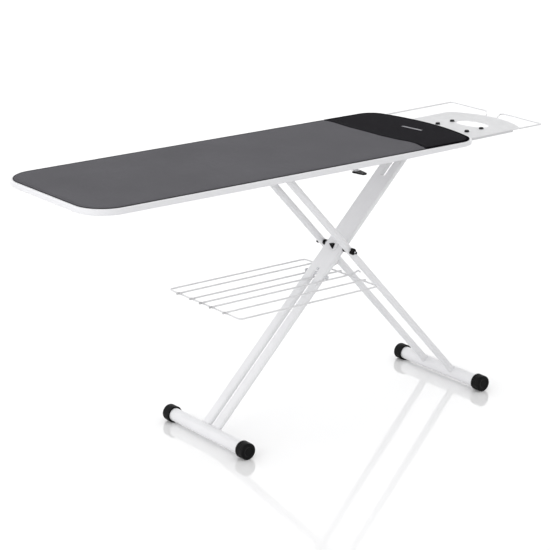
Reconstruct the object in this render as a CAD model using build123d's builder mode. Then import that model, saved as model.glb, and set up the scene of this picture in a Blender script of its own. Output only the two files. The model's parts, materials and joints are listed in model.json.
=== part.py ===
"""Full-size household ironing board on folding X legs, with an iron rest and a wire laundry rack.

Millimetres, +Z up.  The origin is on the floor, under the middle of the whole length.
+X runs from the square end of the board towards the iron rest, and -Y is the side of the lever.
"""
import os
from math import cos, radians, sin, tan

from build123d import *

os.makedirs("parts", exist_ok=True)

# ---------------------------------------------------------------- driving dimensions
overall_length = 1698.5        # square end of the rim to the outermost rest wire
board_height = 833.5           # floor to ironing surface, legs fully open

# ironing surface
cover_length = 1370.0
cover_width = 478.0
square_corner_radius = 90.0
nose_corner_radius = 60.0
nose_arc_radius = 727.0
rim_reveal = 7.0               # how far the white rim stands out beyond the cover
rim_width = 13.0
rim_height = 18.0
rim_ledge = 9.0                # inner step that carries the deck
ledge_drop = 3.0               # thickness of that step
nose_thinning = 6.0            # the rim is this much thinner at the nose
thinning_start = 990.0         # from the square end
thinning_end = 1295.0
cover_thickness = 3.0
pad_thickness = 7.0
deck_thickness = 0.7
seam_from_square_end = 1142.0  # where the dark nose cover begins, on the centre line
seam_skew = 0.6                # degrees
nose_cover_step = 1.0          # the nose cover lies over the main cover

# vents in the deck, and the ribs that brace it
vent_pitch = 46.0
vent_radius = 14.0
vent_columns, vent_rows = 25, 8
brace_skin = 1.0
brace_width = 34.0

# legs: pivots and feet as distances from the square end of the cover
foot_wide_reach = 521.32
foot_thin_reach = 1438.32
wide_hinge_reach = 1280.8
thin_top_reach = 741.7
pivot_drop = 41.5              # leg pivots below the ironing surface
foot_bar_radius = 20.0
foot_cap_radius = 25.0
foot_length = 404.0
foot_cap_length = 33.0
foot_cap_grooves = (9.0, 16.0, 23.0)    # from its outer face

wide_tube_width = 36.0
wide_tube_depth = 15.0
wide_tube_gap = 12.0
thin_tube_radius = 11.0
thin_tube_spacing = 127.0      # centre to centre
tube_wall = 1.2
pin_radius = 5.0
running_clearance = 0.06

# fittings of the legs
sleeve_radius = 7.0            # welded sleeves round the pivot pins
hinge_base = 2.5               # plate of the fixed hinge
hinge_length = 52.0
hinge_drop = 14.0              # its cheeks run this far below the pivot
rack_bolt_radius = 3.0
bolt_head = 1.7                # thickness of the heads of the rack bolt
boss_radius, boss_height = 19.0, 2.5
boss_setback = 6.0             # the boss sits this far below the axle, along the leg
shield_width, shield_length, shield_height = 18.0, 21.0, 4.5
shield_setback = 8.0
shield_turn = 40.0             # degrees, its point is turned towards the side of the lever
screw_head, screw_height = 5.0, 1.6
screw_above_rack = 14.0        # along the leg from the rack pivot
web_above_rack = 5.0           # the filler between the two tubes starts here
web_past_axle = 262.0          # and ends here
web_low = 2.0                  # its underside, above the middle of the tubes
web_sink = 0.2                 # its top lies this far below the top of the tubes
web_play = 0.05
spacer_radius = 9.0
spacer_play = 0.4
cap_radius, cap_length, cap_length_far = 11.0, 17.0, 9.0

# laundry rack
rack_height = 420.0            # centre of its wires
rack_start = 512.0             # from the square end of the cover
rack_length = 508.0
rack_width = 352.0
rack_wire_radius = 2.6
rack_wire_offsets = (-114.0, -49.0, 0.0, 49.0, 114.0)
rack_overhang = 13.0           # wires run on past the left cross wire
rack_pivot_rise = 14.0         # pivot above the wires
rack_hook_reach = 36.0
rack_hook_rise = 8.0
rim_corner = 12.0
lug_inner, lug_outer = 46.9, 49.4
lug_width = 12.0

# iron rest
rest_drop = 16.0               # its plate below the ironing surface
rest_plate_thickness = 1.5
rest_flange = 7.0
rest_tilt = 0.8                # degrees, rising outwards
rest_hinge_line = 1489.5       # all reaches are from the square end of the cover
rest_start = 1312.0
rest_near_end = 1586.0
rest_far_end = 1572.0
rest_reach = 1626.0
rest_tip = -20.0
rest_near, rest_far = -171.0, 138.0
handhold_reach, handhold_middle = 1513.0, -35.0
handhold_length, handhold_width, handhold_turn = 118.0, 62.0, 8.0
bumper_reach, bumper_middle = 1459.5, -34.0
bumper_pitch_x, bumper_pitch_y = 60.0, 132.0
rest_wire_radius = 2.5
bumper_radius = 6.8
bumper_height = 5.0
rest_bar_width = 24.0          # bar under the deck that carries the rest
rest_bar_inset = 20.0          # from both sides of the plate
# routes of the two wires, as reach and offset in the plane of the plate
rest_route_far = [(1320, 176), (1388, 243), (1679, 242), (1676, 74), (1638, 34), (1600, 12)]
rest_route_near = [(1600, -44), (1676, 14), (1689.3, 8), (1684, -166), (1570, -163)]

# rail and release lever
rail_inner_width = 58.0
rail_inner_height = 28.0
rail_wall = 2.0
rail_lip = 12.0
carriage_travel = 243.0
carriage_length = 62.0
lever_reach = 911.5            # from the square end of the cover
lever_drop = 40.0              # its grip below the ironing surface
grip_width, grip_length, grip_thickness = 31.0, 43.0, 4.5
grip_end = -238.0
lever_pivot_y = -112.0
lever_width = 16.0
lever_strip = 3.0
lever_pin_radius = 3.0
lock_bar_y = -38.0
lock_bar_thickness = 3.0
lock_notch_pitch = 27.0
lock_height = 7.5
ear = 2.5                      # ears of the bracket that holds the lever
ear_depth = 9.0
spring_radius, spring_wire, spring_turns = 5.0, 0.7, 6
spring_setback = 40.0          # from the pivot of the lever towards its grip

# ---------------------------------------------------------------- derived positions
rim_start = -overall_length / 2
cover_start = rim_start + rim_reveal
cover_end = cover_start + cover_length
cover_bottom = board_height - cover_thickness
deck_top = cover_bottom - pad_thickness
deck_bottom = deck_top - deck_thickness
rim_top = cover_bottom
rim_bottom = rim_top - rim_height
seam_x = cover_start + seam_from_square_end
half_rim = cover_width / 2 + rim_reveal

pivot_z = board_height - pivot_drop
wide_foot = Vector(cover_start + foot_wide_reach, 0, foot_cap_radius)
thin_foot = Vector(cover_start + foot_thin_reach, 0, foot_cap_radius)
wide_hinge = Vector(cover_start + wide_hinge_reach, 0, pivot_z)
thin_top = Vector(cover_start + thin_top_reach, 0, pivot_z)
wide_slope = (wide_hinge.Z - wide_foot.Z) / (wide_hinge.X - wide_foot.X)
thin_slope = (thin_top.Z - thin_foot.Z) / (thin_foot.X - thin_top.X)
axle_x = (wide_slope * wide_foot.X + thin_slope * thin_foot.X) / (wide_slope + thin_slope)
axle = Vector(axle_x, 0, wide_foot.Z + wide_slope * (axle_x - wide_foot.X))
wide_direction = (wide_hinge - wide_foot).normalized()
wide_length = (wide_hinge - wide_foot).length
wide_offset = (wide_tube_width + wide_tube_gap) / 2
wide_half = wide_offset + wide_tube_width / 2
thin_offset = thin_tube_spacing / 2
thin_inner = thin_offset - thin_tube_radius
thin_outer = thin_offset + thin_tube_radius

rack_pivot_z = rack_height + rack_pivot_rise
rack_pivot = Vector(wide_foot.X + (rack_pivot_z - wide_foot.Z) / wide_slope, 0, rack_pivot_z)
rack_left = cover_start + rack_start
rack_right = rack_left + rack_length

lever_x = cover_start + lever_reach


def save(part, label):
    """Label a finished piece and write its file."""
    part.label = label
    export_step(part, f"parts/{label}.step")


def bar(start, end, radius, wall=0.0):
    """A straight round bar, or a tube when it has a wall."""
    start, end = Vector(*start), Vector(*end)
    with BuildPart() as piece:
        with BuildSketch(Plane(origin=start, z_dir=end - start)):
            Circle(radius)
            if wall:
                Circle(radius - wall, mode=Mode.SUBTRACT)
        extrude(amount=(end - start).length)
    return piece.part


def bent_wire(points, radius, bend, close=False):
    """A round wire along straight runs joined by arcs."""
    with BuildPart() as piece:
        with BuildLine() as path:
            FilletPolyline(*points, radius=bend, close=close)
        start = path.line @ 0
        with BuildSketch(Plane(origin=start, z_dir=path.line % 0)):
            Circle(radius)
        sweep(path=path.line)
    return piece.part


def disc(centre, radius, thickness, bore=0.0):
    """A disc with its axis along Y, between centre.Y and centre.Y + thickness."""
    with BuildPart() as piece:
        with BuildSketch(Plane(origin=centre, x_dir=(1, 0, 0), z_dir=(0, 1, 0))):
            Circle(radius)
            if bore:
                Circle(bore, mode=Mode.SUBTRACT)
        extrude(amount=thickness)
    return piece.part


def block(x_range, y_range, z_range):
    """A rectangular block between three pairs of limits."""
    with BuildPart() as piece:
        with BuildSketch(Plane.XY.offset(z_range[0])):
            with Locations((sum(x_range) / 2, sum(y_range) / 2)):
                Rectangle(x_range[1] - x_range[0], y_range[1] - y_range[0])
        extrude(amount=z_range[1] - z_range[0])
    return piece.part


# ---------------------------------------------------------------- board outline
with BuildSketch() as cover_outline:
    with Locations((cover_start + cover_length / 2, 0)):
        Rectangle(cover_length, cover_width)
    with Locations((cover_end - nose_arc_radius, 0)):
        Circle(nose_arc_radius, mode=Mode.INTERSECT)
    corners = cover_outline.vertices().group_by(Axis.X)
    fillet(corners[-1], nose_corner_radius)
    fillet(cover_outline.vertices().group_by(Axis.X)[0], square_corner_radius)


def outline_slab(grow, bottom, top):
    """The board's outline, grown or shrunk, as a slab."""
    with BuildPart() as slab:
        with BuildSketch(Plane.XY.offset(bottom)):
            add(cover_outline.sketch)
            if grow:
                offset(amount=grow, mode=Mode.REPLACE)
        extrude(amount=top - bottom)
    return slab.part


# ---------------------------------------------------------------- rim, deck, pad and covers
with BuildPart() as board_rim:
    add(outline_slab(rim_reveal, rim_bottom, rim_top))
    fillet(board_rim.faces().sort_by(Axis.Z)[0].outer_wire().edges(), 6.0)
    fillet(board_rim.faces().sort_by(Axis.Z)[-1].outer_wire().edges(), 3.0)
    add(outline_slab(rim_reveal - rim_width, deck_bottom, rim_top), mode=Mode.SUBTRACT)
    add(outline_slab(rim_reveal - rim_width - rim_ledge, rim_bottom, rim_top), mode=Mode.SUBTRACT)
    add(outline_slab(rim_reveal - rim_width, rim_bottom, deck_bottom - ledge_drop), mode=Mode.SUBTRACT)
    with BuildSketch(Plane.XZ) as thinning:
        thin_x, full_x = cover_start + thinning_start, cover_start + thinning_end
        nose_x, nose_bottom = cover_end + 2 * rim_reveal, rim_bottom + nose_thinning
        with BuildLine():
            Polyline((thin_x, rim_bottom), (full_x, nose_bottom), (nose_x, nose_bottom),
                     (nose_x, rim_bottom - 1), (thin_x, rim_bottom - 1), close=True)
        make_face()
    extrude(amount=half_rim + 1, both=True, mode=Mode.SUBTRACT)
save(board_rim.part, "board_rim")

vent_shift = -30.0             # the rows stop short of the hinge end
with BuildPart() as board_deck:
    add(outline_slab(rim_reveal - rim_width, deck_bottom, deck_top))
    with Locations((cover_start + cover_length / 2 + vent_shift, 0, deck_top)):
        with GridLocations(vent_pitch, vent_pitch, vent_columns, vent_rows):
            Hole(vent_radius)
save(board_deck.part, "board_deck")

save(outline_slab(rim_reveal - rim_width, deck_top, cover_bottom), "board_pad")


def seam_mask(x_from, x_to):
    """Everything between two skewed lines across the board."""
    lean = tan(radians(seam_skew)) * half_rim
    with BuildPart() as mask:
        with BuildSketch(Plane.XY.offset(cover_bottom)):
            with BuildLine():
                Polyline((x_from - lean, half_rim), (x_to - lean, half_rim),
                         (x_to + lean, -half_rim), (x_from + lean, -half_rim), close=True)
            make_face()
        extrude(amount=2 * cover_thickness)
    return mask.part


with BuildPart() as cover_main:
    add(outline_slab(0, cover_bottom, board_height - nose_cover_step))
    add(seam_mask(rim_start - half_rim, seam_x), mode=Mode.INTERSECT)
save(cover_main.part, "cover_main")

with BuildPart() as cover_nose:
    add(outline_slab(0, cover_bottom, board_height))
    fillet(cover_nose.faces().sort_by(Axis.Z)[-1].edges(), 1.0)
    add(seam_mask(seam_x, cover_end + half_rim), mode=Mode.INTERSECT)
save(cover_nose.part, "cover_nose")

# ---------------------------------------------------------------- braces under the deck
brace_bottom = pivot_z + rail_inner_height / 2 + rail_wall
brace_height = deck_bottom - brace_bottom - brace_skin
brace_half_span = half_rim - rim_width - rim_ledge - 6
brace_places = {"square_end": cover_start + 230, "rail_left": thin_top.X - carriage_travel - 40,
                "rail_right": thin_top.X + 36, "hinge": wide_hinge.X}
with BuildPart() as cross_braces:
    for brace_x in brace_places.values():
        brace_end = Plane(origin=(brace_x, brace_half_span, deck_bottom), x_dir=(1, 0, 0), z_dir=(0, -1, 0))
        with BuildSketch(brace_end):
            with BuildLine():
                FilletPolyline((-brace_width / 2, 0), (-brace_width / 4, 0), (-brace_width / 4, -brace_height),
                               (brace_width / 4, -brace_height), (brace_width / 4, 0), (brace_width / 2, 0),
                               radius=2.5)
                offset(amount=brace_skin, side=Side.RIGHT)
            make_face()
        extrude(amount=2 * brace_half_span)
save(cross_braces.part, "cross_braces")

# ---------------------------------------------------------------- rail for the sliding leg
rail_half = rail_inner_width / 2 + rail_wall
rail_roof = pivot_z + rail_inner_height / 2
rail_floor = pivot_z - rail_inner_height / 2
rail_left = thin_top.X - carriage_travel - carriage_length / 2 - 14
rail_right = thin_top.X + carriage_length / 2 + 14
slot_height = 2 * (pin_radius + 2.5)
slot_centre = thin_top.X - carriage_travel / 2

with BuildPart() as slide_rail:
    with BuildSketch(Plane.YZ.offset(rail_left)):
        with Locations((0, (rail_roof + rail_floor) / 2)):
            Rectangle(2 * rail_half, rail_inner_height + 2 * rail_wall)
            Rectangle(rail_inner_width, rail_inner_height, mode=Mode.SUBTRACT)
        with Locations((0, rail_floor - rail_wall / 2)):
            Rectangle(rail_inner_width - 2 * rail_lip, 2 * rail_wall, mode=Mode.SUBTRACT)
    extrude(amount=rail_right - rail_left)
    with BuildSketch(Plane.XZ) as rod_slot:
        with Locations((slot_centre, pivot_z)):
            SlotOverall(carriage_travel + slot_height + 4, slot_height)
    extrude(amount=rail_half + 1, both=True, mode=Mode.SUBTRACT)
save(slide_rail.part, "slide_rail")

with BuildPart() as carriage:
    with BuildSketch(Plane.XZ.offset(-rail_inner_width / 2 + 1)):
        with Locations((thin_top.X, pivot_z)):
            RectangleRounded(carriage_length, rail_inner_height - 4, 4)
            Circle(pin_radius, mode=Mode.SUBTRACT)
    extrude(amount=rail_inner_width - 2)
save(carriage.part, "rail_carriage")

rod_reach = thin_outer + 3.5
save(bar((thin_top.X, -rod_reach, pivot_z), (thin_top.X, rod_reach, pivot_z), pin_radius), "carriage_rod")

# ---------------------------------------------------------------- fixed hinge of the wide leg
cheek_inner = wide_half + 1.0
cheek_outer = cheek_inner + 4.0
with BuildPart() as hinge_bracket:
    with BuildSketch(Plane.YZ.offset(wide_hinge.X - hinge_length / 2)):
        with Locations((0, (brace_bottom + pivot_z - hinge_drop) / 2)):
            Rectangle(2 * cheek_outer, brace_bottom - pivot_z + hinge_drop)
        with Locations((0, (brace_bottom + pivot_z - hinge_drop) / 2 - hinge_base)):
            Rectangle(2 * cheek_inner, brace_bottom - pivot_z + hinge_drop, mode=Mode.SUBTRACT)
    extrude(amount=hinge_length)
    cheek_ends = hinge_bracket.edges().filter_by(Axis.Y).group_by(Axis.Z)[0]
    fillet(cheek_ends, 12.0)
    add(disc((wide_hinge.X, -cheek_outer, pivot_z), pin_radius, 2 * cheek_outer), mode=Mode.SUBTRACT)
save(hinge_bracket.part, "hinge_bracket")

with BuildPart() as hinge_pin:
    add(disc((wide_hinge.X, -cheek_outer - 2, pivot_z), pin_radius, 2 * cheek_outer + 4))
    for side in (-1, 1):
        head_start = cheek_outer if side > 0 else -cheek_outer - 3
        add(disc((wide_hinge.X, head_start, pivot_z), pin_radius + 3, 3))
save(hinge_pin.part, "hinge_pin")

# ---------------------------------------------------------------- wide leg
sleeve_bore = pin_radius + running_clearance


def along_wide(distance, lift=0.0):
    """A point on the wide leg, a distance up from its foot bar, lifted off its middle."""
    point = wide_foot + wide_direction * distance
    return Vector(point.X - lift * wide_direction.Z, 0, point.Z + lift * wide_direction.X)


axle_distance = (axle - wide_foot).length
with BuildPart() as foot_bar_wide:
    add(disc((wide_foot.X, -foot_length / 2 + 4, wide_foot.Z), foot_bar_radius, foot_length - 8,
             foot_bar_radius - tube_wall))
save(foot_bar_wide.part, "foot_bar_wide")

for side, name in ((-1, "near"), (1, "far")):
    leg_plane = Plane(origin=wide_foot + Vector(0, side * wide_offset, 0), x_dir=(0, 1, 0),
                      z_dir=wide_direction)
    with BuildPart() as wide_tube:
        with BuildSketch(leg_plane):
            SlotOverall(wide_tube_width, wide_tube_depth)
            SlotOverall(wide_tube_width - 2 * tube_wall, wide_tube_depth - 2 * tube_wall,
                        mode=Mode.SUBTRACT)
        extrude(amount=wide_length)
        for centre, radius in ((wide_foot, foot_bar_radius), (axle, sleeve_radius),
                               (wide_hinge, sleeve_radius), (rack_pivot, rack_bolt_radius)):
            add(disc((centre.X, -wide_half - 1, centre.Z), radius, 2 * wide_half + 2), mode=Mode.SUBTRACT)
    save(wide_tube.part, f"wide_leg_tube_{name}")

sleeve_length = 2 * wide_half
save(disc((wide_hinge.X, -wide_half, wide_hinge.Z), sleeve_radius, sleeve_length, sleeve_bore),
     "hinge_sleeve")
save(disc((axle.X, -wide_half, axle.Z), sleeve_radius, sleeve_length, sleeve_bore), "axle_sleeve")

leg_normal = (-wide_direction.Z, 0, wide_direction.X)
with BuildPart() as axle_boss:
    boss_place = along_wide(axle_distance - boss_setback, wide_tube_depth / 2)
    with BuildSketch(Plane(origin=boss_place, z_dir=leg_normal)):
        Circle(boss_radius)
    extrude(amount=boss_height)
    fillet(axle_boss.faces().sort_by(Axis.Z)[-1].edges(), 1.0)
save(axle_boss.part, "axle_boss")

shield_across = Vector(0, 1, 0) * cos(radians(shield_turn)) - wide_direction * sin(radians(shield_turn))
shield_plane = Plane(origin=along_wide(axle_distance - shield_setback, wide_tube_depth / 2 + boss_height),
                     x_dir=shield_across, z_dir=leg_normal)
with BuildPart() as axle_shield:
    with BuildSketch(shield_plane) as shield_face:
        with BuildLine():
            Polyline((-shield_width / 2, -shield_length * 0.45), (shield_width / 2, -shield_length * 0.45),
                     (shield_width / 2, shield_length * 0.15), (0, shield_length * 0.55),
                     (-shield_width / 2, shield_length * 0.15), close=True)
        make_face()
        fillet(shield_face.vertices(), 3.0)
    extrude(amount=shield_height)
    chamfer(axle_shield.faces().sort_by(Axis.Z)[-1].edges(), 1.5)
save(axle_shield.part, "axle_shield")

rack_pivot_distance = (rack_pivot - wide_foot).length
web_high = wide_tube_depth / 2 - web_sink
with BuildPart() as leg_screw:
    screw_place = along_wide(rack_pivot_distance + screw_above_rack, web_high)
    with BuildSketch(Plane(origin=screw_place, z_dir=leg_normal)):
        Circle(screw_head)
    extrude(amount=screw_height)
save(leg_screw.part, "wide_leg_screw")

# a filler that closes the groove between the two tubes round the axle
web_start = rack_pivot_distance + web_above_rack
web_end = axle_distance + web_past_axle
with BuildPart() as leg_web:
    with BuildSketch(Plane(origin=along_wide(web_start), x_dir=(0, 1, 0), z_dir=wide_direction)):
        with Locations((0, (web_low + web_high) / 2)):
            Rectangle(wide_tube_gap + wide_tube_depth, web_high - web_low)
        with Locations((-wide_offset, 0), (wide_offset, 0)):
            SlotOverall(wide_tube_width + 2 * web_play, wide_tube_depth + 2 * web_play, mode=Mode.SUBTRACT)
    extrude(amount=web_end - web_start)
    add(disc((axle.X, -wide_tube_width, axle.Z), sleeve_radius, 2 * wide_tube_width), mode=Mode.SUBTRACT)
save(leg_web.part, "leg_web")

bolt_reach = thin_inner - 0.9
with BuildPart() as rack_bolt:
    add(disc((rack_pivot.X, -bolt_reach, rack_pivot.Z), rack_bolt_radius, 2 * bolt_reach))
    for head_start in (-bolt_reach, bolt_reach - bolt_head):
        add(disc((rack_pivot.X, head_start, rack_pivot.Z), rack_bolt_radius + 2.5, bolt_head))
save(rack_bolt.part, "rack_bolt")

# ---------------------------------------------------------------- thin leg
with BuildPart() as foot_bar_thin:
    add(disc((thin_foot.X, -foot_length / 2 + 4, thin_foot.Z), foot_bar_radius, foot_length - 8,
             foot_bar_radius - tube_wall))
save(foot_bar_thin.part, "foot_bar_thin")

for side, name in ((-1, "near"), (1, "far")):
    shift = Vector(0, side * thin_offset, 0)
    with BuildPart() as thin_tube:
        add(bar(thin_foot + shift, thin_top + shift, thin_tube_radius, tube_wall))
        for centre, radius in ((thin_foot, foot_bar_radius), (axle, pin_radius), (thin_top, sleeve_radius)):
            add(disc((centre.X, -thin_outer - 1, centre.Z), radius, 2 * thin_outer + 2), mode=Mode.SUBTRACT)
    save(thin_tube.part, f"thin_leg_tube_{name}")

with BuildPart() as top_sleeves:
    for start in (-thin_outer, thin_inner):
        add(disc((thin_top.X, start, thin_top.Z), sleeve_radius, 2 * thin_tube_radius, sleeve_bore))
save(top_sleeves.part, "thin_leg_top_sleeves")

axle_near, axle_far = -thin_outer - 3, thin_outer + 3
save(disc((axle.X, axle_near, axle.Z), pin_radius, axle_far - axle_near), "axle_bolt")

with BuildPart() as axle_spacers:
    for start in (-thin_inner, wide_half + spacer_play):
        add(disc((axle.X, start, axle.Z), spacer_radius, thin_inner - wide_half - spacer_play, pin_radius))
save(axle_spacers.part, "axle_spacers")

with BuildPart() as axle_caps:
    for start, length in ((-thin_outer - cap_length, cap_length), (thin_outer, cap_length_far)):
        add(disc((axle.X, start, axle.Z), cap_radius, length))
    add(disc((axle.X, axle_near, axle.Z), pin_radius, axle_far - axle_near), mode=Mode.SUBTRACT)
save(axle_caps.part, "axle_caps")


def foot_caps(foot, label):
    """Two ribbed end caps that stand on a narrow flat."""
    with BuildPart() as caps:
        for side in (-1, 1):
            outer_face = side * foot_length / 2
            start = min(outer_face, outer_face - side * foot_cap_length)
            add(disc((foot.X, start, foot.Z), foot_cap_radius + 0.4, foot_cap_length))
            for groove in foot_cap_grooves:
                middle = outer_face - side * groove
                add(disc((foot.X, middle - 1, foot.Z), foot_cap_radius + 2, 2), mode=Mode.SUBTRACT)
                add(disc((foot.X, middle - 1, foot.Z), foot_cap_radius - 1, 2))
        ends = caps.faces().filter_by(Axis.Y).sort_by(Axis.Y)
        fillet(ends[0].edges() + ends[-1].edges(), 4.0)
        add(disc((foot.X, -foot_length / 2 + 4, foot.Z), foot_bar_radius, foot_length - 8),
            mode=Mode.SUBTRACT)
        split(bisect_by=Plane.XY, keep=Keep.TOP)
    save(caps.part, label)


foot_caps(wide_foot, "foot_caps_wide")
foot_caps(thin_foot, "foot_caps_thin")

# ---------------------------------------------------------------- laundry rack
rack_half = rack_width / 2
rim_z = rack_height
rim_points = [(rack_left, -rack_half, rim_z), (rack_right, -rack_half, rim_z),
              (rack_right, rack_half, rim_z), (rack_left, rack_half, rim_z)]
save(bent_wire(rim_points, rack_wire_radius, rim_corner, close=True), "rack_rim")

wire_z = rack_height + 2 * rack_wire_radius
for number, offset_y in enumerate(rack_wire_offsets, start=2):
    hooked = abs(offset_y) == rack_wire_offsets[3]
    straight_end = rack_right + rack_wire_radius
    points = [(rack_left - rack_overhang, offset_y, wire_z), (straight_end, offset_y, wire_z)]
    wire = bar(*points, rack_wire_radius)
    if hooked:
        hook_x, hook_z = rack_right + rack_hook_reach, wire_z + rack_hook_rise
        points += [(hook_x - 8, offset_y, hook_z), (hook_x, offset_y, hook_z - 7)]
        wire = bent_wire(points, rack_wire_radius, 4.0)
    save(wire, f"rack_wire_{number}")

with BuildPart() as rack_tips:
    for offset_y in rack_wire_offsets:
        tip_x = rack_left - rack_overhang
        add(bar((tip_x - 3, offset_y, wire_z), (tip_x + 6, offset_y, wire_z), rack_wire_radius + 0.8))
        add(bar((tip_x, offset_y, wire_z), (tip_x + 8, offset_y, wire_z), rack_wire_radius),
            mode=Mode.SUBTRACT)
save(rack_tips.part, "rack_wire_tips")

lug_bottom = wire_z + rack_wire_radius
with BuildPart() as rack_lugs:
    for start in (-lug_outer, lug_inner):
        add(block((rack_pivot.X - lug_width / 2, rack_pivot.X + lug_width / 2),
                  (start, start + lug_outer - lug_inner), (lug_bottom, rack_pivot.Z)))
        add(disc((rack_pivot.X, start, rack_pivot.Z), lug_width / 2, lug_outer - lug_inner))
    add(disc((rack_pivot.X, -lug_outer, rack_pivot.Z), rack_bolt_radius + running_clearance, 2 * lug_outer),
        mode=Mode.SUBTRACT)
save(rack_lugs.part, "rack_lugs")

# ---------------------------------------------------------------- iron rest
rest_plane = Plane(origin=(cover_start + rest_hinge_line, 0, board_height - rest_drop),
                   x_dir=(cos(radians(rest_tilt)), 0, sin(radians(rest_tilt))),
                   z_dir=(-sin(radians(rest_tilt)), 0, cos(radians(rest_tilt))))


def rest_point(reach, offset_y, height=0.0):
    """A point on the iron rest, its reach counted from the square end of the cover."""
    return rest_plane.from_local_coords((reach - rest_hinge_line, offset_y, height))


with BuildPart() as rest_plate:
    with BuildSketch(rest_plane) as rest_face:
        with BuildLine():
            start = rest_start - rest_hinge_line
            near_end = (rest_near_end - rest_hinge_line, rest_near)
            far_end = (rest_far_end - rest_hinge_line, rest_far)
            Polyline(far_end, (start, rest_far), (start, rest_near), near_end)
            ThreePointArc(near_end, (rest_reach - rest_hinge_line, rest_tip), far_end)
        make_face()
        fillet(rest_face.vertices().group_by(Axis.X)[1:], 16.0)
        with Locations((handhold_reach - rest_hinge_line, handhold_middle)):
            Ellipse(handhold_width / 2, handhold_length / 2, rotation=handhold_turn, mode=Mode.SUBTRACT)
    extrude(amount=-rest_plate_thickness)
    flange_length = rest_near_end - rest_start - 30
    for edge_y, inward in ((rest_near, 1), (rest_far, -1)):
        with BuildSketch(rest_plane.offset(-rest_flange)):
            middle = (rest_start + rest_near_end - 30) / 2 - rest_hinge_line
            with Locations((middle, edge_y + inward * rest_plate_thickness / 2)):
                Rectangle(flange_length, rest_plate_thickness)
        extrude(amount=rest_flange - rest_plate_thickness)
save(rest_plate.part, "rest_plate")

with BuildPart() as rest_bumpers:
    with BuildSketch(rest_plane):
        with Locations((bumper_reach - rest_hinge_line, bumper_middle)):
            with GridLocations(bumper_pitch_x, bumper_pitch_y, 2, 2):
                Circle(bumper_radius)
    extrude(amount=bumper_height)
    fillet(rest_bumpers.faces().filter_by(GeomType.PLANE).group_by(Axis.Z)[-1].edges(), 2.0)
save(rest_bumpers.part, "rest_bumpers")

rest_bar_bottom = rest_point(rest_start + rest_bar_width, 0).Z
save(block((cover_start + rest_start, cover_start + rest_start + rest_bar_width),
           (rest_near + rest_bar_inset, rest_far - rest_bar_inset), (rest_bar_bottom, deck_bottom)), "rest_bar")

for route, name in ((rest_route_far, "rest_wire_far"), (rest_route_near, "rest_wire_near")):
    with BuildPart() as rest_wire:
        points = [rest_point(reach, offset_y, -rest_wire_radius) for reach, offset_y in route]
        add(bent_wire(points, rest_wire_radius, 9.0))
        with BuildSketch(rest_plane.offset(-2 * rest_wire_radius)):
            with BuildLine():
                Polyline(far_end, (start, rest_far), (start, rest_near), near_end)
                ThreePointArc(near_end, (rest_reach - rest_hinge_line, rest_tip), far_end)
            make_face()
        extrude(amount=3 * rest_wire_radius, mode=Mode.SUBTRACT)
    save(rest_wire.part, name)

# ---------------------------------------------------------------- height release lever
lever_z = board_height - lever_drop
lever_pin_z = lever_z + lever_strip / 2 + 3.0
arm_low, arm_high = lever_z, lever_z + lever_strip
ear_gap = lever_width / 2 + 0.8

with BuildPart() as lever_bracket:
    with BuildSketch(Plane.XZ.offset(-lever_pivot_y - ear_depth)):
        with Locations((lever_x, (deck_bottom + lever_pin_z - 7) / 2)):
            Rectangle(2 * (ear_gap + ear), deck_bottom - lever_pin_z + 7)
        with Locations((lever_x, (deck_bottom + lever_pin_z - 7) / 2 - ear)):
            Rectangle(2 * ear_gap, deck_bottom - lever_pin_z + 7, mode=Mode.SUBTRACT)
    extrude(amount=2 * ear_depth)
    pin_start = (lever_x - ear_gap - ear - 1, lever_pivot_y, lever_pin_z)
    pin_end = (lever_x + ear_gap + ear + 1, lever_pivot_y, lever_pin_z)
    add(bar(pin_start, pin_end, lever_pin_radius), mode=Mode.SUBTRACT)
save(lever_bracket.part, "lever_bracket")
save(bar(pin_start, pin_end, lever_pin_radius), "lever_pin")

lock_z = pivot_z - pin_radius - 1.5
lock_start = thin_top.X - carriage_travel - 12
lock_end = thin_top.X + 22
with BuildPart() as release_arm:
    add(block((lever_x - lever_width / 2, lever_x + lever_width / 2),
              (grip_end + grip_length - 8, lock_bar_y + lock_bar_thickness), (arm_low, arm_high)))
    add(bar((lever_x - lever_width / 2, lever_pivot_y, lever_pin_z),
            (lever_x + lever_width / 2, lever_pivot_y, lever_pin_z), lever_pin_radius + 3))
    add(bar((lever_x - lever_width, lever_pivot_y, lever_pin_z),
            (lever_x + lever_width, lever_pivot_y, lever_pin_z), lever_pin_radius + running_clearance),
        mode=Mode.SUBTRACT)
save(release_arm.part, "release_arm")

with BuildPart() as lock_bar:
    with BuildSketch(Plane.XZ.offset(-lock_bar_y - lock_bar_thickness)) as comb:
        with BuildLine():
            arm_edge = lever_x + lever_width / 2
            Polyline((lock_start, lock_z), (lock_end, lock_z), (lock_end + 14, arm_low),
                     (arm_edge, arm_low), (arm_edge, arm_low - 4), (lock_end + 16, arm_low - 4),
                     (lock_end + 6, lock_z - lock_height), (lock_start, lock_z - lock_height), close=True)
        make_face()
        with Locations((thin_top.X - 4 * lock_notch_pitch, lock_z + 1)):
            with GridLocations(lock_notch_pitch, 1, 9, 1):
                Circle(pin_radius, mode=Mode.SUBTRACT)
    extrude(amount=lock_bar_thickness)
save(lock_bar.part, "lock_bar")

with BuildPart() as lever_grip:
    with BuildSketch(Plane.XY.offset(arm_low - grip_thickness)) as grip_face:
        with BuildLine():
            inner_y = grip_end + grip_length
            Polyline((lever_x - grip_width / 2, inner_y), (lever_x + grip_width / 2, inner_y),
                     (lever_x + grip_width / 4, grip_end), (lever_x - grip_width / 4, grip_end), close=True)
        make_face()
        fillet(grip_face.vertices().group_by(Axis.Y)[0], 6.0)
        fillet(grip_face.vertices().group_by(Axis.Y)[-1], 3.0)
    extrude(amount=grip_thickness)
    fillet(lever_grip.faces().sort_by(Axis.Z)[0].edges(), 1.2)
save(lever_grip.part, "lever_grip")

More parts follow.
